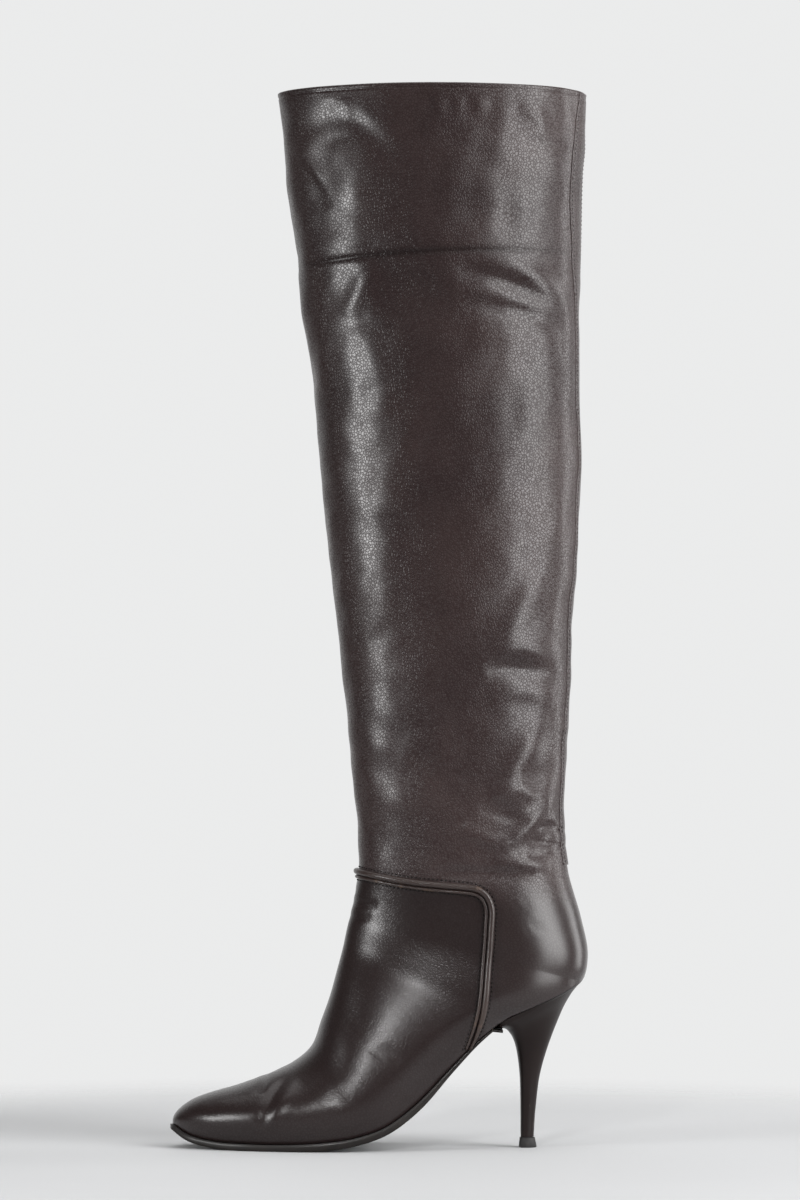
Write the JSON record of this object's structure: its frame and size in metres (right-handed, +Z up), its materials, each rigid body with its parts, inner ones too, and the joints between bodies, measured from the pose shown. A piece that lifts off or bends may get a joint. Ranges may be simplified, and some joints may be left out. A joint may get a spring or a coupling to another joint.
{
  "type": "tall boot",
  "caption": "Left boot that reaches over the knee: a slim hollow leather leg, an almond toe, a thin sole, a slender covered heel and corded piping round the vamp.",
  "frame": {"origin": "on the floor, under the middle of the boot's bounding box", "axes": "+X from the toe towards the heel, +Y to the inner side of the foot, +Z up"},
  "size_m": [0.2252, 0.104, 0.569],
  "materials": {
    "upper_leather": "dark brown grained leather, semi-gloss",
    "piping_leather": "dark brown leather over cord, slightly worn",
    "lining_leather": "tan lining leather, matt",
    "sole_leather": "near-black sole leather, satin",
    "heel_cover": "dark brown leather stretched over the heel, satin",
    "lift_rubber": "black rubber, matt"
  },
  "bodies": {
    "root": {"upper": "upper_leather", "insole": "lining_leather", "outsole": "sole_leather", "heel": "heel_cover", "top_lift": "lift_rubber", "ankle_piping": "piping_leather", "back_stay": "upper_leather"}
  },
  "joints": []
}
